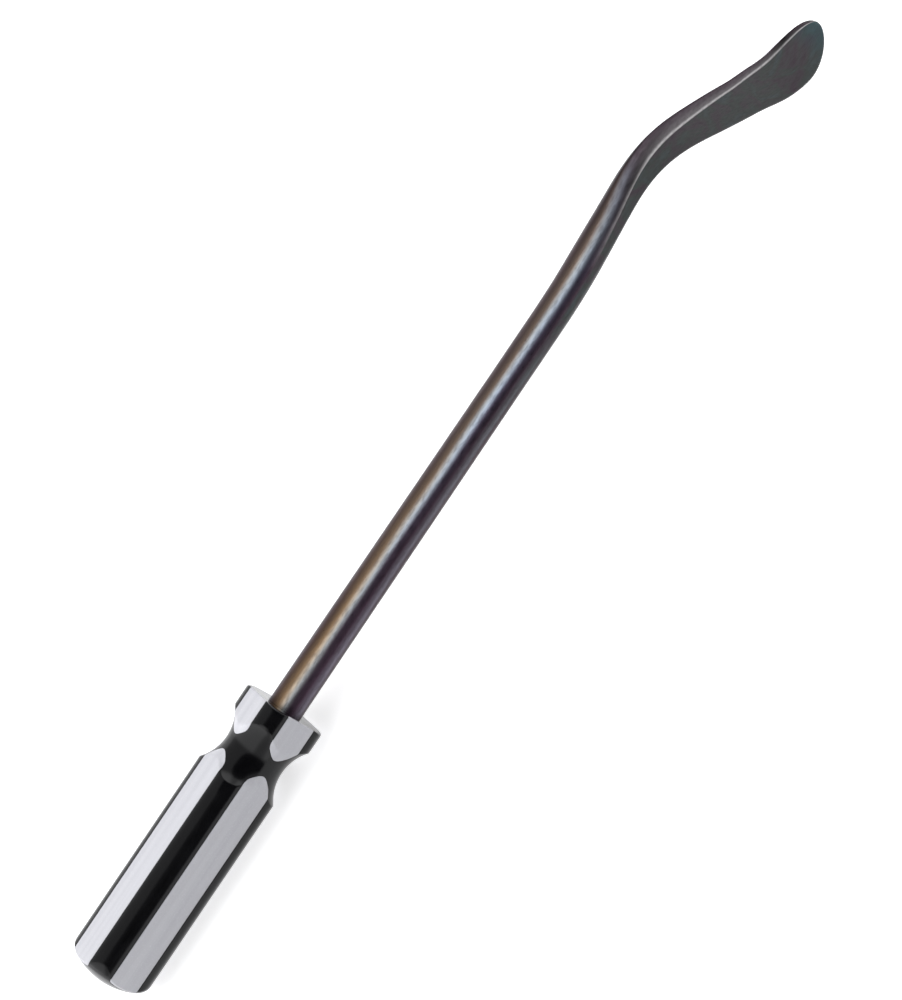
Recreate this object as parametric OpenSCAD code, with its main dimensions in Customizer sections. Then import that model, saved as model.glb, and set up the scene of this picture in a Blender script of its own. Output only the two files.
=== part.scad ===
// Curved tyre spoon with a square two-colour handle.
// The shaft lies along X, from the butt of the handle to the spoon. The tool lies on a table at
// z = 0, on one rounded corner of its handle, and its box is centred over the origin.
// The blade bends towards -Y in a level plane, so the flat face of the spoon stands on edge.

/* [Handle] */
// Length of the handle
handle_len = 105.7; // [100:0.1:112]
// Distance across opposite flats
across_flats = 24; // [23.4:0.1:26]
// Rounding of the four long corners
corner_r = 6.1; // [5:0.1:6.2]
// Turn of the flats about the shaft, away from square with the bend
handle_turn = -14; // [-20:1:20]
// Radius of the domed butt
butt_r = 24; // [20:0.5:40]
// Rounding between the dome and the long corners
butt_edge_r = 5.2; // [3:0.1:6]
// Rounding of the collar's front corners
collar_edge_r = 1.2; // [0.4:0.1:2]

/* [Neck] */
// Middle of the turned neck, from the butt
neck_x = 87.9; // [80:0.1:90]
// Smallest radius of the neck
neck_min_r = 10.7; // [9.6:0.1:11]
// Radius of the neck's hollow, seen from the side
neck_curve_r = 16.2; // [14:0.1:18]

/* [Stripes] */
// Width of each silver stripe
stripe_w = 11.4; // [8:0.1:11.6]
// Depth of each silver stripe below its flat
stripe_depth = 1; // [0.6:0.1:1.4]
// Rounding of the lower edges of each stripe
stripe_edge_r = 2; // [1.5:0.1:3]

/* [Shaft] */
// Straight length of the shaft, from the collar to the set-back
straight_len = 145; // [140:1:160]
// Shaft diameter where it enters the handle
shaft_d = 12; // [11.4:0.1:13]
// Shaft diameter after the drawn taper
shaft_end_d = 11.3; // [10:0.1:11.3]
// Length of the drawn taper, from the collar
taper_len = 125; // [100:1:130]
// Start of the tang inside the handle, from the butt
tang_x = 22; // [16:1:40]
// Length of the two swaged wings on the tang
wing_len = 14; // [10:1:20]
// Distance across the wings
wing_span = 16; // [14:0.5:18]
// Thickness of the wings
wing_t = 3.2; // [2:0.1:5]

/* [Bend] */
// Angle of the slight set-back before the main bend
setback_angle = 6.2; // [0:0.1:8]
// Angle of the spoon to the shaft after the main bend
bend_angle = 34.2; // [25:0.1:40]
// Angle that the lip turns back towards the shaft line
lip_angle = 44.6; // [30:0.1:50]

/* [Spoon] */
// Half width of the blade where the lip begins
blade_half_w = 10.9; // [9:0.1:12]
// Half width at the widest place of the lip
lip_half_w = 12.1; // [10:0.1:13]
// Height of the flat face above the middle line, near the tip
tip_face = 1.4; // [1:0.1:2.5]
// Depth of the back below the middle line, near the tip
tip_back = 1.7; // [1:0.1:2.5]

/* [Hidden] */
$fn = 96;

steel = [0.27, 0.24, 0.26];
black = [0.04, 0.04, 0.045];
silver = [0.72, 0.73, 0.75];

flat_h = across_flats / 2;
corner_c = flat_h - corner_r;
corner_reach = corner_r + corner_c * sqrt(2);
shaft_r = shaft_d / 2;
bar_r = shaft_end_d / 2;

// How far a cutter runs past the face that it cuts
past = 1;
// The round bar stands this much proud of the blade's first ring, so that they join cleanly
bar_over = 0.02;

// Stretches along the middle line of the shaft, measured from the collar
setback = [straight_len, straight_len + 34];
main_bend = [straight_len + 47.4, straight_len + 87.3];
lip_bend = [straight_len + 108.2, straight_len + 134.8];
face_run = [straight_len + 19.5, straight_len + 127];
back_run = [straight_len + 19.5, straight_len + 129.4];
spread = [straight_len + 40.6, straight_len + 101.8];
flare = [straight_len + 101.8, straight_len + 113.1];
tip_round = [straight_len + 121.2, straight_len + 137.1];
blade_start = straight_len - 6;

// Outline of the rounded tip, how its thickness closes, and how far the back is from a true ellipse
tip_power = 1.78;
edge_power = 5;
lens_power = 1.3;
// The last ring stops just short of the point
tip_end = 0.998;

ring_step = 2.4;
tip_rings = 12;
ring_sides = 40;

// Smooth step from 0 to 1 over a stretch
function ramp(s, stretch) =
    let (t = min(1, max(0, (s - stretch[0]) / (stretch[1] - stretch[0]))))
    t * t * (3 - 2 * t);

function mix(a, b, t) = a + (b - a) * t;

// Heading of the middle line, in degrees from the shaft towards the bend
function heading(s) =
    -setback_angle * ramp(s, setback)
    + (bend_angle + setback_angle) * ramp(s, main_bend)
    - lip_angle * ramp(s, lip_bend);

// Where the rings are: even along the bend, closer together round the tip
function ring_places() =
    let (n = ceil((tip_round[0] - blade_start) / ring_step))
    concat([for (i = [0 : n - 1]) mix(blade_start, tip_round[0], i / n)],
           [for (i = [0 : tip_rings])
               mix(tip_round[0], tip_round[1], tip_end * sin(90 * i / tip_rings))]);

// Step along the middle line from place a to place b
function stride(a, b) =
    (b - a) * [cos(heading((a + b) / 2)), sin(heading((a + b) / 2))];

// Middle line as [distance along the shaft, distance towards the bend], a point for each ring
function middle_line(s) =
    [for (i = 0, p = [s[0], 0];
          i < len(s);
          p = i < len(s) - 1 ? p + stride(s[i], s[i + 1]) : p, i = i + 1)
        p];

// How much of the blade is left in the rounded tip, across or through it
function tip_share(s, power) =
    let (t = min(1, max(0, (s - tip_round[0]) / (tip_round[1] - tip_round[0]))))
    pow(1 - pow(t, power), 1 / power);

function half_width(s) =
    mix(bar_r, blade_half_w, ramp(s, spread))
    + (lip_half_w - blade_half_w) * ramp(s, flare);

function rounded(v, power) = sign(v) * pow(abs(v), 2 / power);

// A cross-section point as [across, towards the bend], at an angle round the ring.
// The bar is round at first; the face is cut flat and the back thins to a lens.
function section(s, angle) =
    let (power = mix(2, lens_power, ramp(s, [face_run[0], main_bend[1]])),
         across = half_width(s) * tip_share(s, tip_power) * rounded(cos(angle), power),
         up = rounded(sin(angle), power),
         face = mix(bar_r, tip_face, ramp(s, face_run)),
         back = mix(bar_r, tip_back, ramp(s, back_run)))
    [across, tip_share(s, edge_power) * (up > 0 ? min(face, bar_r * up) : back * up)];

// A cross-section point set square to the middle line, with X along the shaft
function placed(s, p, q) =
    [p[0] - q[1] * sin(heading(s)), -p[1] - q[1] * cos(heading(s)), q[0]];

rings = ring_places();
line = middle_line(rings);
last_ring = len(rings) - 1;
blade_points = [for (i = [0 : last_ring], k = [0 : ring_sides - 1])
                   placed(rings[i], line[i], section(rings[i], 360 * k / ring_sides))];

// Reach of the turned handle below and beside the shaft axis
rest_reach = corner_r + corner_c * sqrt(2) * cos(45 - abs(handle_turn));
overall_len = handle_len + max([for (p = blade_points) p[0]]);
axis_y = -(rest_reach + min([for (p = blade_points) p[1]])) / 2;

// Half of the handle's outline before the neck is turned: radius against length
module handle_outline() {
    edge_r = corner_reach - butt_edge_r;
    edge_x = butt_r - sqrt(pow(butt_r - butt_edge_r, 2) - pow(edge_r, 2));
    front = handle_len - collar_edge_r;
    translate([0, edge_x])
        square([corner_reach, front - edge_x]);
    translate([0, edge_x])
        square([corner_reach - collar_edge_r, handle_len - edge_x]);
    // Rounding at the front of the collar
    translate([corner_reach - collar_edge_r, front])
        circle(collar_edge_r);
    // Rounding at the edge of the dome
    translate([edge_r, edge_x])
        circle(butt_edge_r);
    // Dome, up to the line through both centres
    intersection() {
        translate([0, butt_r])
            circle(butt_r);
        polygon([[0, butt_r], [0, -past], [edge_r * butt_r / (butt_r - butt_edge_r), -past],
                 [edge_r, edge_x]]);
    }
}

module handle_profile() {
    difference() {
        handle_outline();
        translate([neck_min_r + neck_curve_r, neck_x])
            circle(neck_curve_r);
    }
}

module square_with_round_corners() {
    square([across_flats, 2 * corner_c], center = true);
    square([2 * corner_c, across_flats], center = true);
    for (x = [-corner_c, corner_c], y = [-corner_c, corner_c])
        translate([x, y])
            circle(corner_r);
}

// Solid handle, standing on its butt along Z
module handle_blank() {
    intersection() {
        linear_extrude(handle_len)
            square_with_round_corners();
        rotate_extrude()
            handle_profile();
    }
}

// Cross-section of a stripe's groove over a flat, which opens with round lower edges
module groove_section() {
    drop = stripe_edge_r - stripe_depth;
    middle = stripe_w / 2 - sqrt(pow(stripe_edge_r, 2) - pow(drop, 2));
    translate([flat_h - stripe_depth, -middle])
        square([stripe_depth + past, 2 * middle]);
    for (side = [-1, 1])
        translate([flat_h + drop, side * middle])
            circle(stripe_edge_r);
}

// Room for one stripe, on the flat that a number of quarter turns faces
module stripe_slot(quarter, from, to) {
    translate([0, 0, from])
        linear_extrude(to - from)
            rotate(90 * quarter)
                groove_section();
}

// Two wings swaged out of the tang, which keep it from turning or pulling out
module wings() {
    from = tang_x + 6;
    run = 3;
    root = shaft_r - 1;
    half = wing_span / 2;
    translate([0, wing_t / 2, 0])
        rotate([90, 0, 0])
            linear_extrude(wing_t)
                polygon([[-root, from], [root, from], [half, from + run],
                         [half, from + wing_len - run], [root, from + wing_len],
                         [-root, from + wing_len], [-half, from + wing_len - run],
                         [-half, from + run]]);
}

// Room in the handle for the end of the lever, along Z
module tang_room() {
    translate([0, 0, tang_x])
        cylinder(h = handle_len + past - tang_x, r = shaft_r);
    wings();
}

// Round bar from its end inside the handle to the blade, along Z
module bar() {
    over_r = bar_r + bar_over;
    bar_end = handle_len + blade_start + past;
    rotate_extrude()
        polygon([[0, tang_x], [shaft_r, tang_x], [shaft_r, handle_len],
                 [over_r, handle_len + taper_len], [over_r, bar_end], [0, bar_end]]);
}

// Bent blade as a chain of cross-sections, X along the shaft from the collar
module blade() {
    n = ring_sides;
    sides = [for (i = [0 : last_ring - 1], k = [0 : n - 1])
                [i * n + k, (i + 1) * n + k, (i + 1) * n + (k + 1) % n, i * n + (k + 1) % n]];
    start_cap = [[for (k = [0 : n - 1]) k]];
    tip_cap = [[for (k = [0 : n - 1]) last_ring * n + n - 1 - k]];
    polyhedron(blade_points, concat(sides, start_cap, tip_cap), convexity = 4);
}

// Sets the tool down with its box centred over the origin
module on_table() {
    translate([-overall_len / 2, axis_y, rest_reach])
        children();
}

// Lays down what stands on its butt along Z, with the flats turned
module handle_place() {
    on_table()
        rotate([0, 90, 0])
            rotate([0, 0, 180 + handle_turn])
                children();
}

module lever() {
    color(steel) {
        handle_place() {
            bar();
            wings();
        }
        on_table()
            translate([handle_len, 0, 0])
                blade();
    }
}

module handle_core() {
    color(black)
        handle_place()
            difference() {
                handle_blank();
                for (quarter = [0 : 3])
                    stripe_slot(quarter, -past, handle_len + past);
                tang_room();
            }
}

module stripe(quarter, from, to) {
    color(silver)
        handle_place()
            intersection() {
                handle_blank();
                stripe_slot(quarter, from, to);
            }
}

module grip_stripe(quarter) {
    stripe(quarter, -past, neck_x);
}

module collar_stripe(quarter) {
    stripe(quarter, neck_x, handle_len + past);
}

lever();
handle_core();
grip_stripe(0);  // grip_stripe_1
grip_stripe(1);  // grip_stripe_2
grip_stripe(2);  // grip_stripe_3
grip_stripe(3);  // grip_stripe_4
collar_stripe(0);  // collar_stripe_1
collar_stripe(1);  // collar_stripe_2
collar_stripe(2);  // collar_stripe_3
collar_stripe(3);  // collar_stripe_4
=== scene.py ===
"""Looks of the curved tyre spoon: fine meshes, materials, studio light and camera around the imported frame.

Lengths are in millimetres until a mesh is made. The tool's own coordinates have x along the shaft from the
butt of the handle. An angle round the shaft is measured in degrees from straight up towards the bend (-Y).
"""

import math

import bmesh
import bpy
from mathutils import Matrix, Vector

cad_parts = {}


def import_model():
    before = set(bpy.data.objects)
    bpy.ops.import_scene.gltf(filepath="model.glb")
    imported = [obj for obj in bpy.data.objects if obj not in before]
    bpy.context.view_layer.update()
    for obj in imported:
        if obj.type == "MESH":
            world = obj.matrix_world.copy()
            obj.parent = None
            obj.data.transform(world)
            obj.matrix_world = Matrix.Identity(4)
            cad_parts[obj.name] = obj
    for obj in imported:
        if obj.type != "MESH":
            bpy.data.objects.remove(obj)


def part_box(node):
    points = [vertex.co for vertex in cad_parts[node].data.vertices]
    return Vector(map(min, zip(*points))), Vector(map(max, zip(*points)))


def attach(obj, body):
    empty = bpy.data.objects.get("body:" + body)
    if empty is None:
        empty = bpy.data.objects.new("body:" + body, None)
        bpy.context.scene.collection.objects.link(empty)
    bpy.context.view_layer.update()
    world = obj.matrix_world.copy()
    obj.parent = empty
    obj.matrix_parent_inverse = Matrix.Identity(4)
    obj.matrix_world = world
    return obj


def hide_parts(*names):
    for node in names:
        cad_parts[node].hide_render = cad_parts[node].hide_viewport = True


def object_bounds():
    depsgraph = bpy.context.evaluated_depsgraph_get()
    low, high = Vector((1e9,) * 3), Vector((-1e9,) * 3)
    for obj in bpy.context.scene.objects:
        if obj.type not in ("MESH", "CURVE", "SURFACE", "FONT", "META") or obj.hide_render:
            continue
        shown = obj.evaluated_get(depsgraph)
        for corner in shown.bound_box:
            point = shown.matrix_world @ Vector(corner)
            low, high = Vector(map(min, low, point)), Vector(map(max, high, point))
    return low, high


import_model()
cad_low, cad_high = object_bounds()

MM = 0.001

# ---------------------------------------------------------------- Dimensions, as in the CAD source
HANDLE_LEN = 105.7
FLAT_H = 24 / 2
CORNER_R = 6.1
HANDLE_TURN = -14
BUTT_R = 24
BUTT_EDGE_R = 5.2
COLLAR_EDGE_R = 1.2
NECK_X = 87.9
NECK_MIN_R = 10.7
NECK_CURVE_R = 16.2
STRIPE_HALF = 11.4 / 2
STRIPE_DEPTH = 1
STRIPE_EDGE_R = 2

SHAFT_R = 12 / 2
BAR_R = 11.3 / 2
STRAIGHT_LEN = 145
TAPER_LEN = 125
TANG_X = 22
WING_START = TANG_X + 6
WING_LEN = 14
WING_RUN = 3
WING_HALF_SPAN = 16 / 2
WING_HALF_T = 3.2 / 2

SETBACK_ANGLE = 6.2
BEND_ANGLE = 34.2
LIP_ANGLE = 44.6
BLADE_HALF_W = 10.9
LIP_HALF_W = 12.1
TIP_FACE = 1.4
TIP_BACK = 1.7

SETBACK = (STRAIGHT_LEN, STRAIGHT_LEN + 34)
MAIN_BEND = (STRAIGHT_LEN + 47.4, STRAIGHT_LEN + 87.3)
LIP_BEND = (STRAIGHT_LEN + 108.2, STRAIGHT_LEN + 134.8)
FACE_RUN = (STRAIGHT_LEN + 19.5, STRAIGHT_LEN + 127)
BACK_RUN = (STRAIGHT_LEN + 19.5, STRAIGHT_LEN + 129.4)
SPREAD = (STRAIGHT_LEN + 40.6, STRAIGHT_LEN + 101.8)
FLARE = (STRAIGHT_LEN + 101.8, STRAIGHT_LEN + 113.1)
TIP_ROUND = (STRAIGHT_LEN + 121.2, STRAIGHT_LEN + 137.1)
TIP_POWER = 1.78
EDGE_POWER = 5
LENS_POWER = 1.3

CORNER_C = FLAT_H - CORNER_R
CORNER_REACH = CORNER_R + CORNER_C * math.sqrt(2)
FLOOR_H = FLAT_H - STRIPE_DEPTH
FLOOR_HALF = STRIPE_HALF - math.sqrt(STRIPE_EDGE_R**2 - (STRIPE_EDGE_R - STRIPE_DEPTH) ** 2)

# ---------------------------------------------------------------- Where the handle lies, from the frame
core_low, core_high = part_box("handle_core")
BUTT = Vector((core_low.x, (core_low.y + core_high.y) / 2, (core_low.z + core_high.z) / 2))


def in_frame(point):
    """A point of the tool, in millimetres from the middle of the butt, as a point of the frame, in metres."""
    return BUTT + Vector(point) * MM


# ---------------------------------------------------------------- Small numeric helpers
def mix(a, b, t):
    return a + (b - a) * t


def ramp(s, stretch):
    """Smooth step from 0 to 1 over a stretch."""
    t = min(1, max(0, (s - stretch[0]) / (stretch[1] - stretch[0])))
    return t * t * (3 - 2 * t)


def soft_min(a, b, blend):
    """The smaller of a and b, with the crease between them rounded over blend."""
    near = max(blend - abs(a - b), 0) / blend
    return min(a, b) - near * near * blend / 4


def spaced(a, b, count):
    """count + 1 even values from a to b."""
    return [mix(a, b, i / count) for i in range(count + 1)]


def sin_deg(angle):
    return math.sin(math.radians(angle))


def cos_deg(angle):
    return math.cos(math.radians(angle))


def joined(*runs):
    """Runs of values end to end, without the values that repeat where they meet."""
    values = list(runs[0])
    for run in runs[1:]:
        values += run[1:]
    return values


# ---------------------------------------------------------------- Mesh helpers
def ring_faces(rings, sides):
    """Quads between closed rings, each with the same number of points."""
    faces = []
    for i in range(rings - 1):
        for k in range(sides):
            after = (k + 1) % sides
            faces.append((i * sides + k, i * sides + after, (i + 1) * sides + after, (i + 1) * sides + k))
    return faces


def new_piece(name, points, faces, material, node, sharp_angle=40):
    """A closed mesh piece that stands for one CAD node."""
    mesh = bpy.data.meshes.new(name)
    mesh.from_pydata([in_frame(p) for p in points], [], faces)
    piece = bpy.data.objects.new(name, mesh)
    bpy.context.scene.collection.objects.link(piece)
    clean(mesh)
    mesh.shade_smooth()
    mesh.set_sharp_from_angle(angle=math.radians(sharp_angle))
    mesh.materials.append(material)
    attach(piece, "root")
    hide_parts(node)
    return piece


def clean(mesh):
    """Welds points that meet, drops the faces that this leaves empty and turns all faces outwards."""
    weld = 2e-6
    bm = bmesh.new()
    bm.from_mesh(mesh)
    bmesh.ops.remove_doubles(bm, verts=bm.verts, dist=weld)
    bmesh.ops.dissolve_degenerate(bm, edges=bm.edges, dist=weld)
    bmesh.ops.recalc_face_normals(bm, faces=bm.faces)
    bm.to_mesh(mesh)
    bm.free()


# ---------------------------------------------------------------- Handle: turned outline
EDGE_RING_R = CORNER_REACH - BUTT_EDGE_R
EDGE_RING_X = BUTT_R - math.sqrt((BUTT_R - BUTT_EDGE_R) ** 2 - EDGE_RING_R**2)
DOME_END = math.degrees(math.asin(EDGE_RING_R / (BUTT_R - BUTT_EDGE_R)))
CREASE = 0.25
PAST_CREASE = 0.9 * CREASE
FRONT_BREAK = 0.5


def dome_point(angle):
    """(x, radius) on the domed butt and its rounded edge, where the outline's normal is at angle from the axis."""
    if angle < DOME_END:
        return BUTT_R * (1 - cos_deg(angle)), BUTT_R * sin_deg(angle)
    return EDGE_RING_X - BUTT_EDGE_R * cos_deg(angle), EDGE_RING_R + BUTT_EDGE_R * sin_deg(angle)


def dome_angle(radius):
    """The angle at which the domed butt has that radius."""
    if radius < BUTT_R * sin_deg(DOME_END):
        return math.degrees(math.asin(radius / BUTT_R))
    return math.degrees(math.asin(min(1, (radius - EDGE_RING_R) / BUTT_EDGE_R)))


def neck_point(angle):
    """(x, radius) on the turned neck, at angle from its narrowest place."""
    return NECK_X + NECK_CURVE_R * sin_deg(angle), NECK_MIN_R + NECK_CURVE_R * (1 - cos_deg(angle))


def neck_angle(radius):
    return math.degrees(math.acos(1 - (radius - NECK_MIN_R) / NECK_CURVE_R))


def front_break(x):
    """How much the broken front edge takes off at x."""
    past = max(0, x - (HANDLE_LEN - FRONT_BREAK))
    return FRONT_BREAK - math.sqrt(max(0, FRONT_BREAK**2 - past**2))


def collar_radius(x):
    past = max(0, x - (HANDLE_LEN - COLLAR_EDGE_R))
    return CORNER_REACH - COLLAR_EDGE_R + math.sqrt(max(0, COLLAR_EDGE_R**2 - past**2))


def flat_reach(x, radius, across):
    """Height of the flat's surface at a place across it, where the handle is turned to a radius."""
    turned = math.sqrt(max(0, radius**2 - across**2))
    return soft_min(FLAT_H, turned, CREASE) - front_break(x)


def groove_height(across):
    """Height of a stripe's groove, flat in the middle and rounded up to the flat at both edges."""
    past = max(0, abs(across) - FLOOR_HALF)
    return FLOOR_H + STRIPE_EDGE_R - math.sqrt(STRIPE_EDGE_R**2 - past**2)


def corner_radius(angle):
    """Distance from the axis to the square's outline, at an angle from the nearest flat's normal."""
    a = abs(angle)
    edge = math.degrees(math.atan2(CORNER_C, FLAT_H))
    if a < edge:
        return FLAT_H / cos_deg(a)
    if a > 90 - edge:
        return FLAT_H / cos_deg(90 - a)
    # Ray from the axis against the circle of the rounded corner
    along = CORNER_C * (cos_deg(a) + sin_deg(a))
    off = CORNER_C * (cos_deg(a) - sin_deg(a))
    return along + math.sqrt(CORNER_R**2 - off**2)


def round_handle(x, height, across, flat_angle):
    """A point at a height over a flat and a place across it."""
    c, s = cos_deg(flat_angle), sin_deg(flat_angle)
    return (x, -height * s - across * c, height * c - across * s)


# ---------------------------------------------------------------- Handle: black core
LAND_COLUMNS = 26
GROOVE_COLUMNS = joined(
    spaced(-STRIPE_HALF, -FLOOR_HALF, 7), spaced(-FLOOR_HALF, FLOOR_HALF, 12), spaced(FLOOR_HALF, STRIPE_HALF, 7)
)


def core_outline(x, radius):
    """Closed outline of the core at x, where it is turned to a radius: four grooves and four lands."""
    # Inside this radius the core is a plain disc
    disc = 9
    shrink = min(1, radius / disc)
    radius = max(radius, disc)
    land_edge = flat_reach(x, radius, STRIPE_HALF)
    land_start = math.degrees(math.atan2(STRIPE_HALF, land_edge))
    points = []
    for quarter in range(4):
        flat_angle = HANDLE_TURN + 90 * quarter
        for across in GROOVE_COLUMNS:
            height = min(groove_height(across), flat_reach(x, radius, across))
            points.append(round_handle(x, shrink * height, shrink * across, flat_angle))
        for turn in spaced(land_start, 90 - land_start, LAND_COLUMNS):
            reach = soft_min(corner_radius(turn), radius, CREASE) - front_break(x)
            height, across = reach * cos_deg(turn), reach * sin_deg(turn)
            points.append(round_handle(x, shrink * height, shrink * across, flat_angle))
    return points


def core_profile():
    """(x, radius) of each ring of the core, close together where the flats are cut."""
    centre_hole = 0.4
    inside_grooves = dome_angle(FLOOR_H - 0.3)
    shoulder = neck_angle(CORNER_REACH)
    dome_angles = joined(spaced(centre_hole, inside_grooves, 10), spaced(inside_grooves, 90, 48))
    dome = [dome_point(a) for a in dome_angles]
    neck = [neck_point(a) for a in spaced(-shoulder, shoulder, 150)]
    grip = [(x, CORNER_REACH) for x in spaced(dome[-1][0], neck[0][0], 14)]
    front = HANDLE_LEN - COLLAR_EDGE_R
    collar = [(x, CORNER_REACH) for x in spaced(neck[-1][0], front, 6)]
    rim = [(x, collar_radius(x)) for x in (front + COLLAR_EDGE_R * sin_deg(a) for a in spaced(0, 90, 12))]
    return joined(dome, grip, neck, collar, rim)


def grip_core(material):
    profile = core_profile()
    rings = [core_outline(x, radius) for x, radius in profile]
    sides = len(rings[0])
    # Front face, bore and the bore's end, as circles with the outline's own directions
    outline = rings[-1]
    bore_break = 0.25
    tang_end = TANG_X - 0.5
    for x, radius in ((HANDLE_LEN, SHAFT_R + bore_break), (HANDLE_LEN - bore_break, SHAFT_R), (tang_end, SHAFT_R)):
        circle = []
        for point in outline:
            reach = math.hypot(point[1], point[2])
            circle.append((x, point[1] * radius / reach, point[2] * radius / reach))
        rings.append(circle)
    points = [p for ring in rings for p in ring]
    faces = ring_faces(len(rings), sides)
    faces.append(tuple(range(sides)))
    faces.append(tuple(range(len(points) - sides, len(points))))
    return new_piece("grip_core", points, faces, material, "handle_core")


# ---------------------------------------------------------------- Handle: silver stripes
STRIPE_GAP = 0.06
STRIPE_BREAK = 0.1


def stripe_columns():
    edge = STRIPE_HALF - STRIPE_GAP
    inner = edge - STRIPE_BREAK
    return joined(
        [-edge, -inner],
        spaced(-inner, -FLOOR_HALF, 6),
        spaced(-FLOOR_HALF, FLOOR_HALF, 14),
        spaced(FLOOR_HALF, inner, 6),
        [inner, edge],
    )


def grip_rows(across):
    """(x, radius) along a grip stripe at a place across it, from the dome to the point where the neck ends it."""
    low, crease = math.hypot(groove_height(across), across), math.hypot(FLAT_H, across)
    over = [dome_point(a) for a in spaced(dome_angle(low), dome_angle(crease + PAST_CREASE), 14)]
    down = [neck_point(-a) for a in spaced(neck_angle(crease + PAST_CREASE), neck_angle(low), 18)]
    along = [(x, CORNER_REACH) for x in spaced(over[-1][0], down[0][0], 16)]
    return over + along[1:-1] + down


def collar_rows(across):
    """(x, radius) along a collar stripe at a place across it, from the neck to the front face."""
    low, crease = math.hypot(groove_height(across), across), math.hypot(FLAT_H, across)
    up = [neck_point(a) for a in spaced(neck_angle(low), neck_angle(crease + PAST_CREASE), 18)]
    start = HANDLE_LEN - FRONT_BREAK
    along = [(x, CORNER_REACH) for x in spaced(up[-1][0], start, 6)]
    rim = [(start + FRONT_BREAK * sin_deg(a), CORNER_REACH) for a in spaced(0, 90, 8)]
    return up + along[1:] + rim[1:]


def stripe(name, node, rows_at, quarter, material):
    """A silver stripe as a closed solid: its shown side, its underside and the walls between them."""
    columns = stripe_columns()
    flat_angle = HANDLE_TURN + 90 * quarter
    top, bottom = [], []
    for across in columns:
        dip = FLAT_H - groove_height(across) if across in (columns[0], columns[-1]) else 0
        for x, radius in rows_at(across):
            height = flat_reach(x, radius, across) - dip
            top.append(round_handle(x, height, across, flat_angle))
            bottom.append(round_handle(x, min(height, groove_height(across)), across, flat_angle))
    rows = len(top) // len(columns)
    under = len(top)
    faces = []
    for c in range(len(columns) - 1):
        for r in range(rows - 1):
            a, b = c * rows + r, (c + 1) * rows + r
            faces.append((a, b, b + 1, a + 1))
            faces.append((under + a, under + a + 1, under + b + 1, under + b))
    for c in (0, len(columns) - 1):
        for r in range(rows - 1):
            a = c * rows + r
            faces.append((a, a + 1, under + a + 1, under + a))
    for r in (0, rows - 1):
        for c in range(len(columns) - 1):
            a, b = c * rows + r, (c + 1) * rows + r
            faces.append((a, b, under + b, under + a))
    return new_piece(name, top + bottom, faces, material, node)


# ---------------------------------------------------------------- Lever
FLANK_COLUMNS = 12
FACE_COLUMNS = 30
BACK_COLUMNS = 44
FACE_CREASE = 0.35
CREASE_RUN = 20


def heading(s):
    """Heading of the middle line in degrees, at a distance along it from the collar."""
    return (
        -SETBACK_ANGLE * ramp(s, SETBACK)
        + (BEND_ANGLE + SETBACK_ANGLE) * ramp(s, MAIN_BEND)
        - LIP_ANGLE * ramp(s, LIP_BEND)
    )


def tip_share(s, power):
    """How much of the blade is left in the rounded tip, across or through it."""
    t = min(1, max(0, (s - TIP_ROUND[0]) / (TIP_ROUND[1] - TIP_ROUND[0])))
    return (1 - t**power) ** (1 / power)


def half_width(s):
    return mix(BAR_R, BLADE_HALF_W, ramp(s, SPREAD)) + (LIP_HALF_W - BLADE_HALF_W) * ramp(s, FLARE)


def rounded(value, power):
    return math.copysign(abs(value) ** (2 / power), value)


def column_angles(s):
    """Angles round a ring, from one edge of the blade over its face and back under it."""
    power = mix(2, LENS_POWER, ramp(s, (FACE_RUN[0], MAIN_BEND[1])))
    face = mix(BAR_R, TIP_FACE, ramp(s, FACE_RUN))
    widest = 65
    crease = min(widest, math.degrees(math.asin((face / BAR_R) ** (power / 2))))
    return joined(
        spaced(0, crease, FLANK_COLUMNS),
        spaced(crease, 180 - crease, FACE_COLUMNS),
        spaced(180 - crease, 180, FLANK_COLUMNS),
        spaced(180, 360, BACK_COLUMNS),
    )[:-1]


def blade_section(s, angle):
    """(across, towards the bend) of a point of the blade's cross-section."""
    power = mix(2, LENS_POWER, ramp(s, (FACE_RUN[0], MAIN_BEND[1])))
    up = rounded(sin_deg(angle), power)
    across = half_width(s) * tip_share(s, TIP_POWER) * rounded(cos_deg(angle), power)
    closing = tip_share(s, EDGE_POWER)
    face = mix(BAR_R, TIP_FACE, ramp(s, FACE_RUN))
    back = mix(BAR_R, TIP_BACK, ramp(s, BACK_RUN))
    if up < 0:
        return across, closing * back * up
    above_zero = 1e-6
    blend = FACE_CREASE * ramp(s, (FACE_RUN[0], FACE_RUN[0] + CREASE_RUN)) + above_zero
    top = soft_min(face, BAR_R * up, blend) if up * BAR_R > blend else min(face, BAR_R * up)
    return across, closing * top


def tang_section(x, angle):
    """(across, towards the bend) of a point of the tang, swaged out into two wings."""
    wing_end = WING_START + WING_LEN
    swage = ramp(x, (WING_START, WING_START + WING_RUN)) - ramp(x, (wing_end - WING_RUN, wing_end))
    wing = max(0, 1 - abs(sin_deg(angle)) * SHAFT_R / WING_HALF_T) ** 0.5
    reach = SHAFT_R + (WING_HALF_SPAN - SHAFT_R) * wing * swage
    return reach * cos_deg(angle), reach * sin_deg(angle)


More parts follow.
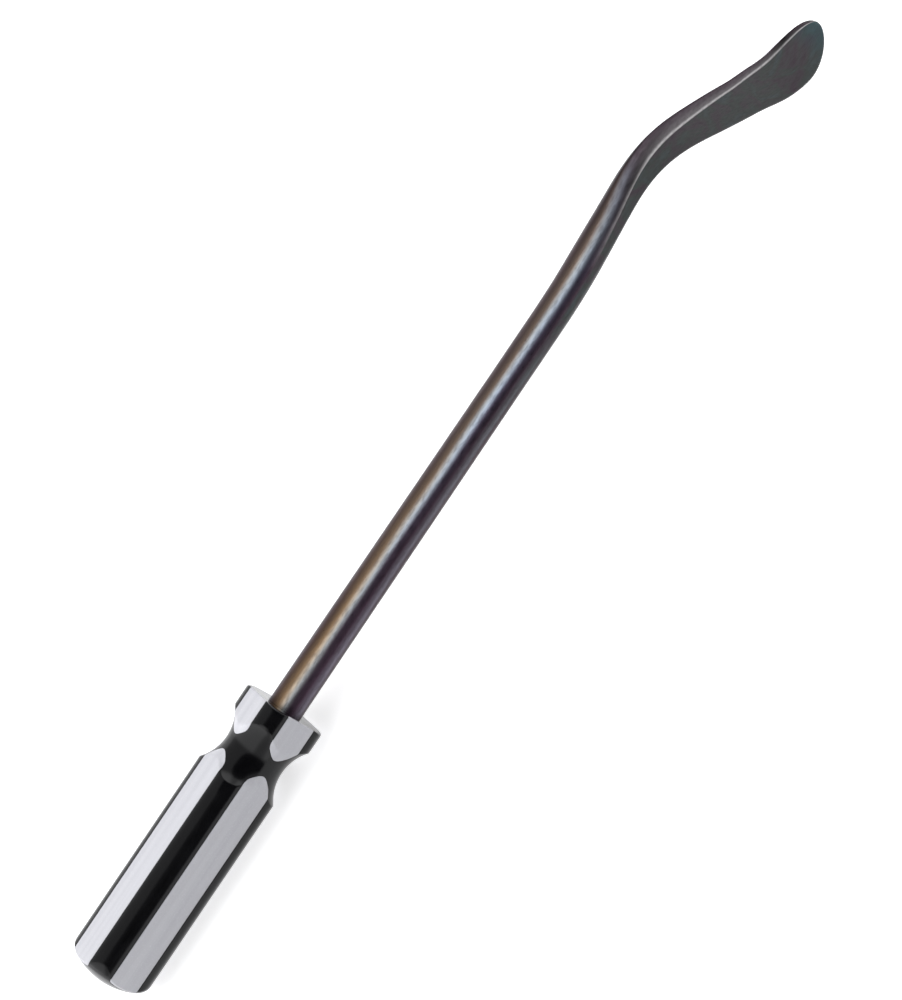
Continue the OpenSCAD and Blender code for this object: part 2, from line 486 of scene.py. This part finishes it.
def lever(material):
    """The whole forging as one chain of rings: tang with its wings, tapered shaft, bend and spoon."""
    points = []
    end_break = 0.8
    past_wings = WING_START + WING_LEN + 4
    even = column_angles(0)
    for x in joined([TANG_X, TANG_X + end_break], spaced(TANG_X + end_break, past_wings, 44),
                    spaced(past_wings, HANDLE_LEN, 8)):
        scale = 1 - end_break / SHAFT_R if x == TANG_X else 1
        for angle in even:
            across, bend = tang_section(x, angle)
            points.append((x, -bend * scale, across * scale))
    for s in spaced(0, STRAIGHT_LEN, 60)[1:]:
        radius = mix(SHAFT_R, BAR_R, min(1, s / TAPER_LEN))
        for angle in even:
            points.append((HANDLE_LEN + s, -radius * sin_deg(angle), radius * cos_deg(angle)))
    x, y, s = HANDLE_LEN + STRAIGHT_LEN, 0, STRAIGHT_LEN
    # The last ring stops just short of the point
    last = 0.9985
    tip = [mix(*TIP_ROUND, last * sin_deg(a)) for a in spaced(0, 90, 34)]
    for after in joined(spaced(STRAIGHT_LEN, TIP_ROUND[0], 150), tip)[1:]:
        middle = heading((s + after) / 2)
        x += (after - s) * cos_deg(middle)
        y -= (after - s) * sin_deg(middle)
        s = after
        for angle in column_angles(s):
            across, bend = blade_section(s, angle)
            points.append((x - bend * sin_deg(heading(s)), y - bend * cos_deg(heading(s)), across))
    sides = len(even)
    faces = ring_faces(len(points) // sides, sides)
    faces.append(tuple(range(sides)))
    faces.append(tuple(range(len(points) - sides, len(points))))
    return new_piece("spoon_lever", points, faces, material, "lever", 50)


# ---------------------------------------------------------------- Materials
class Shader:
    """A node material with a Principled surface, and short calls that add nodes to it."""

    def __init__(self, name):
        self.material = bpy.data.materials.new(name)
        self.material.use_nodes = True
        self.tree = self.material.node_tree
        self.surface = self.tree.nodes["Principled BSDF"]
        self.place = self.tree.nodes.new("ShaderNodeTexCoord").outputs["Object"]

    def link(self, value, socket):
        if isinstance(value, bpy.types.NodeSocket):
            self.tree.links.new(value, socket)
        else:
            socket.default_value = value

    def set(self, **values):
        for name, value in values.items():
            self.link(value, self.surface.inputs[name.replace("_", " ")])

    def stretched(self, scale):
        """Object coordinates in metres times a scale along x, y and z."""
        node = self.tree.nodes.new("ShaderNodeMapping")
        self.link(self.place, node.inputs["Vector"])
        node.inputs["Scale"].default_value = scale
        return node.outputs["Vector"]

    def noise(self, vector, detail=3, roughness=0.5, distortion=0):
        node = self.tree.nodes.new("ShaderNodeTexNoise")
        self.link(vector, node.inputs["Vector"])
        node.inputs["Scale"].default_value = 1
        node.inputs["Detail"].default_value = detail
        node.inputs["Roughness"].default_value = roughness
        node.inputs["Distortion"].default_value = distortion
        return node.outputs["Fac"]

    def span(self, value, low, high, to_low=0.0, to_high=1.0):
        """value from low to high, carried over to another range and kept inside it."""
        node = self.tree.nodes.new("ShaderNodeMapRange")
        self.link(value, node.inputs["Value"])
        for name, number in (("From Min", low), ("From Max", high), ("To Min", to_low), ("To Max", to_high)):
            node.inputs[name].default_value = number
        return node.outputs["Result"]

    def math(self, kind, a, b=0.0):
        node = self.tree.nodes.new("ShaderNodeMath")
        node.operation = kind
        self.link(a, node.inputs[0])
        self.link(b, node.inputs[1])
        return node.outputs[0]

    def mix(self, share, a, b):
        node = self.tree.nodes.new("ShaderNodeMix")
        node.data_type = "RGBA"
        # The colour sockets of a node that also has float and vector ones
        self.link(share, node.inputs[0])
        self.link(a, node.inputs[6])
        self.link(b, node.inputs[7])
        return node.outputs[2]

    def ramp(self, value, stops):
        """A colour ramp with (place, colour) stops."""
        node = self.tree.nodes.new("ShaderNodeValToRGB")
        self.link(value, node.inputs["Fac"])
        elements = node.color_ramp.elements
        while len(elements) < len(stops):
            elements.new(0.5)
        for element, (place, tone) in zip(elements, stops):
            element.position = place
            element.color = tone
        return node.outputs["Color"]

    def along(self):
        """Distance along the shaft, as the x coordinate in metres."""
        node = self.tree.nodes.new("ShaderNodeSeparateXYZ")
        self.link(self.place, node.inputs["Vector"])
        return node.outputs["X"]

    def bump(self, *layers):
        """Bump layers of (height, depth in metres), one on top of the other."""
        normal = None
        for height, depth in layers:
            node = self.tree.nodes.new("ShaderNodeBump")
            node.inputs["Distance"].default_value = depth
            self.link(height, node.inputs["Height"])
            if normal:
                self.link(normal, node.inputs["Normal"])
            normal = node.outputs["Normal"]
        self.link(normal, self.surface.inputs["Normal"])


def colour(r, g, b):
    return (r, g, b, 1)


def oxide_steel():
    """Forged steel with a streaked, heat-tinted oxide: gold to purple by the handle, blue-grey further on. Its
    colour also changes with the way the surface faces, which paints in light: a painted highlight along the shaft,
    painted shade at its edges and a painted floor reflection on its front.
    """
    m = Shader("oxide_steel")
    along = m.along()
    normal = m.tree.nodes.new("ShaderNodeSeparateXYZ")
    m.link(m.tree.nodes.new("ShaderNodeTexCoord").outputs["Normal"], normal.inputs["Vector"])
    forward = m.math("MULTIPLY", normal.outputs["Y"], -1.0)
    lean = m.math("ARCTAN2", forward, normal.outputs["Z"])
    wander = m.noise(m.stretched((14, 60, 60)), 2)
    turn = m.math("ADD", m.span(lean, -math.pi, math.pi), m.span(wander, 0.3, 0.7, -0.02, 0.02))
    # The ramps below colour the steel by which way it faces, over the heat tint's own hues. dark, at the 0.41 and
    # 0.79 stops, is painted shade at both edges. The stops from 0.635 to 0.68 are painted shade too, 0.53 to 0.615
    # is a painted highlight and 0.75 is a painted floor reflection.
    dark = colour(0.037, 0.020, 0.027)
    by_handle_tint_and_painted_light = m.ramp(turn, [
        (0.41, dark),
        (0.47, colour(0.080, 0.050, 0.036)),
        (0.53, colour(0.185, 0.120, 0.068)),
        (0.565, colour(0.150, 0.125, 0.098)),
        (0.595, colour(0.110, 0.116, 0.120)),
        (0.615, colour(0.095, 0.092, 0.102)),
        (0.635, colour(0.058, 0.040, 0.058)),
        (0.68, colour(0.042, 0.025, 0.038)),
        (0.715, colour(0.066, 0.054, 0.070)),
        (0.75, colour(0.130, 0.115, 0.145)),
        (0.79, dark),
    ])
    further_on_tint_and_painted_light = m.ramp(turn, [
        (0.41, dark),
        (0.47, colour(0.064, 0.045, 0.042)),
        (0.53, colour(0.135, 0.099, 0.077)),
        (0.565, colour(0.125, 0.130, 0.135)),
        (0.595, colour(0.135, 0.155, 0.185)),
        (0.615, colour(0.110, 0.120, 0.155)),
        (0.635, colour(0.066, 0.054, 0.084)),
        (0.68, colour(0.042, 0.027, 0.038)),
        (0.715, colour(0.046, 0.042, 0.048)),
        (0.75, colour(0.095, 0.096, 0.108)),
        (0.79, dark),
    ])
    # Heat tint with painted highlight, shade and reflection, blended from the handle's ramp to the further one
    tint_and_painted_light = m.mix(m.span(along, -0.06, 0.03), by_handle_tint_and_painted_light, further_on_tint_and_painted_light)
    cloud = m.noise(m.stretched((110, 200, 130)), 4, 0.6, 0.8)
    mottle = m.ramp(m.span(cloud, 0.3, 0.7), [
        (0.0, colour(0.039, 0.029, 0.037)),
        (0.35, colour(0.042, 0.038, 0.042)),
        (0.6, colour(0.037, 0.042, 0.040)),
        (1.0, colour(0.042, 0.051, 0.055)),
    ])
    mottle = m.mix(m.span(along, 0.180, 0.1895, 0.0, 0.8), mottle, colour(0.018, 0.046, 0.054))
    # On the blade, coloured by which way the surface faces: painted shade along the back edge, then a painted
    # highlight on the bevel, brightest at the crease, then the mottled face
    bevel = m.ramp(m.span(lean, -math.pi, math.pi), [
        (0.25, colour(0.040, 0.036, 0.040)),
        (0.50, colour(0.018, 0.013, 0.017)),
        (0.59, colour(0.022, 0.017, 0.021)),
        (0.62, colour(0.036, 0.031, 0.035)),
        (0.645, colour(0.090, 0.085, 0.088)),
        (0.67, colour(0.290, 0.280, 0.282)),
        (0.70, colour(0.290, 0.280, 0.282)),
    ])
    # The shaft's painted-light ramps, then the blade's painted shade and bevel highlight
    skin_with_painted_light = m.mix(m.span(along, 0.085, 0.125), tint_and_painted_light, bevel)
    face = m.math("MULTIPLY", m.span(lean, math.radians(72), math.radians(83)), m.span(along, 0.03, 0.07))
    base = m.mix(face, skin_with_painted_light, mottle)
    speck = m.noise(m.stretched((350, 1300, 1300)), 3, 0.6)
    base = m.mix(m.span(speck, 0.45, 0.65, 0.0, 0.25), base, colour(0.025, 0.018, 0.022))
    grain = m.noise(m.stretched((25, 2600, 2600)), 2)
    rough = m.math("ADD", m.span(speck, 0.35, 0.65, 0.30, 0.42), m.span(grain, 0.3, 0.7, -0.03, 0.03))
    m.set(Base_Color=base, Metallic=0.95, Roughness=rough)
    hammered = m.noise(m.stretched((240, 420, 420)), 2)
    m.bump((hammered, 0.00006), (speck, 0.00002), (grain, 0.00001))
    return m.material


def black_plastic():
    """Gloss black moulded plastic, with faint lengthwise draw lines and hand-worn patches."""
    m = Shader("black_plastic")
    worn = m.noise(m.stretched((60, 140, 140)), 4, 0.6)
    lines = m.noise(m.stretched((20, 2200, 2200)), 2)
    dust = m.noise(m.stretched((2600, 2600, 2600)), 2)
    base = m.mix(m.span(worn, 0.35, 0.7), colour(0.0018, 0.0018, 0.0022), colour(0.0035, 0.0035, 0.0042))
    base = m.mix(m.span(dust, 0.66, 0.8, 0.0, 0.12), base, colour(0.03, 0.03, 0.035))
    rough = m.math("ADD", m.span(worn, 0.3, 0.7, 0.11, 0.19), m.span(lines, 0.3, 0.7, -0.02, 0.03))
    m.set(Base_Color=base, Roughness=rough, IOR=1.49, Specular_IOR_Level=0.25)
    peel = m.noise(m.stretched((330, 330, 330)), 2)
    m.bump((peel, 0.00001), (lines, 0.000002))
    return m.material


def silver_plastic():
    """Silver-grey plastic with metal flake and a fine lengthwise grain."""
    m = Shader("silver_plastic")
    streaks = m.noise(m.stretched((7, 420, 420)), 4, 0.6)
    fine = m.noise(m.stretched((40, 3200, 3200)), 2)
    flake = m.noise(m.stretched((3200, 3200, 3200)), 1)
    base = m.mix(m.span(streaks, 0.3, 0.7), colour(0.335, 0.335, 0.358), colour(0.385, 0.385, 0.408))
    base = m.mix(m.span(flake, 0.58, 0.75, 0.0, 0.5), base, colour(0.475, 0.48, 0.50))
    rough = m.math("ADD", m.span(streaks, 0.3, 0.7, 0.44, 0.38), m.span(fine, 0.3, 0.7, -0.03, 0.03))
    m.set(Base_Color=base, Metallic=0.4, Roughness=rough)
    m.bump((streaks, 0.00001), (fine, 0.000004))
    return m.material


# ---------------------------------------------------------------- Pieces
steel = oxide_steel()
black = black_plastic()
silver = silver_plastic()

spoon_lever = lever(steel)
grip_core(black)
inlays = []
for number in range(4):
    inlays.append(stripe(f"grip_inlay_{number + 1}", f"grip_stripe_{number + 1}", grip_rows, number, silver))
    inlays.append(stripe(f"collar_inlay_{number + 1}", f"collar_stripe_{number + 1}", collar_rows, number, silver))


# ---------------------------------------------------------------- Stage
def floor():
    size = 3
    mesh = bpy.data.meshes.new("floor")
    half = size / 2
    mesh.from_pydata([(-half, -half, 0), (half, -half, 0), (half, half, 0), (-half, half, 0)], [], [(0, 1, 2, 3)])
    plane = bpy.data.objects.new("floor", mesh)
    plane.location.z = cad_low.z
    bpy.context.scene.collection.objects.link(plane)
    m = Shader("pale_paper")
    m.set(Base_Color=colour(0.86, 0.86, 0.865), Roughness=0.9, Emission_Color=colour(1, 1, 1), Emission_Strength=0.6)
    mesh.materials.append(m.material)


def softbox(name, centre, aim, size, power, lit):
    """A rectangular light at centre that faces aim and lights only the given pieces. size is (along X, across)."""
    light = bpy.data.lights.new(name, "AREA")
    light.shape = "RECTANGLE"
    light.size, light.size_y = size
    light.energy = power
    lamp = bpy.data.objects.new(name, light)
    toward = (Vector(aim) - Vector(centre)).normalized()
    from_an_end = abs(toward.x) > 0.7
    side = toward.cross(Vector((0, 0, 1))).normalized() if from_an_end else Vector((1, 0, 0))
    turn = Matrix((side, toward.cross(side).normalized() * -1, -toward)).transposed().to_4x4()
    lamp.matrix_world = Matrix.Translation(centre) @ turn
    bpy.context.scene.collection.objects.link(lamp)
    lamp.light_linking.receiver_collection = bpy.data.collections.new(name)
    for piece in lit:
        lamp.light_linking.receiver_collection.objects.link(piece)


def lights():
    """A long highlight down the shaft, some light along the spoon's bevel, and brighter tops for the stripes."""
    softbox("over_shaft", (0.05, -0.34, 1.0), (0.05, 0.006, 0), (1.1, 0.72), 10.5, [spoon_lever])
    softbox("spoon_side", (-0.95, -0.45, 0.62), (0.12, 0, 0), (0.5, 0.5), 3, [spoon_lever])
    softbox("over_handle", (-0.14, 0.32, 0.95), (-0.14, 0, 0), (0.6, 0.4), 10, inlays)


def world():
    """A pale tent, brighter behind and at both ends, with a dark opening in front that the camera looks through."""
    scene = bpy.context.scene
    scene.world = bpy.data.worlds.new("studio")
    scene.world.use_nodes = True
    tree = scene.world.node_tree
    background = tree.nodes["Background"]

    def node(kind, *values, **settings):
        made = tree.nodes.new(kind)
        for name, value in settings.items():
            setattr(made, name, value)
        for value, socket in zip(values, made.inputs):
            if isinstance(value, bpy.types.NodeSocket):
                tree.links.new(value, socket)
            else:
                socket.default_value = value
        return made.outputs[0]

    def calc(kind, a, b=0.0):
        return node("ShaderNodeMath", a, b, operation=kind)

    def span(value, low, high, to_low, to_high):
        return node("ShaderNodeMapRange", value, low, high, to_low, to_high)

    direction = tree.nodes.new("ShaderNodeTexCoord").outputs["Generated"]
    parts = tree.nodes.new("ShaderNodeSeparateXYZ")
    tree.links.new(direction, parts.inputs[0])
    along = parts.outputs["X"]
    # Lean of a direction about the shaft: 0 is straight up, 90 level in front, -90 level behind
    lean = calc("DEGREES", calc("ARCTAN2", calc("MULTIPLY", parts.outputs["Y"], -1.0), parts.outputs["Z"]))
    # Opening: a rounded patch, which is lower and wider towards the handle
    middle = span(along, 0.0, 0.5, 53.0, 33.0)
    half = span(along, 0.0, 0.5, 47.0, 30.0)
    across = calc("ABSOLUTE", calc("DIVIDE", calc("SUBTRACT", lean, middle), half))
    length = calc("ABSOLUTE", span(along, -0.27, 0.79, -1.0, 1.0))
    round_off = 3.0
    reach = calc("ADD", calc("POWER", across, round_off), calc("POWER", length, round_off))
    opening = span(reach, 0.85, 1.15, 1.0, 0.0)
    # The tent, brighter behind, and its two bright ends
    tent = span(lean, -66.0, -58.0, 1.5, 0.75)
    left_end = span(along, -0.36, -0.25, 1.3, 0.0)
    right_end = span(along, 0.70, 0.80, 0.0, 1.8)
    lit = calc("ADD", calc("ADD", left_end, right_end), tent)
    dark = 0.03
    strength = node("ShaderNodeMix", opening, (0, 0, 0), lit, dark, data_type="FLOAT")
    tree.links.new(strength, background.inputs["Strength"])
    background.inputs["Color"].default_value = colour(0.98, 0.985, 1)


def camera():
    """Looks from in front and above, a little from the spoon's side, rolled so that the shaft rises to the right."""
    elevation, yaw, roll = 50, 3, 55.89
    target = Vector((0.00078, 0.00071, 0.00964))
    distance, focal, film = 1.39, 157, 36
    face_on = Vector((0, -cos_deg(elevation), sin_deg(elevation)))
    level_up = Vector((0, sin_deg(elevation), cos_deg(elevation)))
    shaft = Vector((1, 0, 0))
    back = cos_deg(yaw) * face_on + sin_deg(yaw) * shaft
    along = cos_deg(yaw) * shaft - sin_deg(yaw) * face_on
    right = cos_deg(roll) * along - sin_deg(roll) * level_up
    up = sin_deg(roll) * along + cos_deg(roll) * level_up
    data = bpy.data.cameras.new("camera")
    data.lens, data.sensor_width = focal, film
    cam = bpy.data.objects.new("camera", data)
    turn = Matrix((right, up, back)).transposed().to_4x4()
    cam.matrix_world = Matrix.Translation(target + back * distance) @ turn
    bpy.context.scene.collection.objects.link(cam)
    bpy.context.scene.camera = cam


floor()
lights()
world()
camera()
bpy.context.scene.view_settings.view_transform = "Standard"
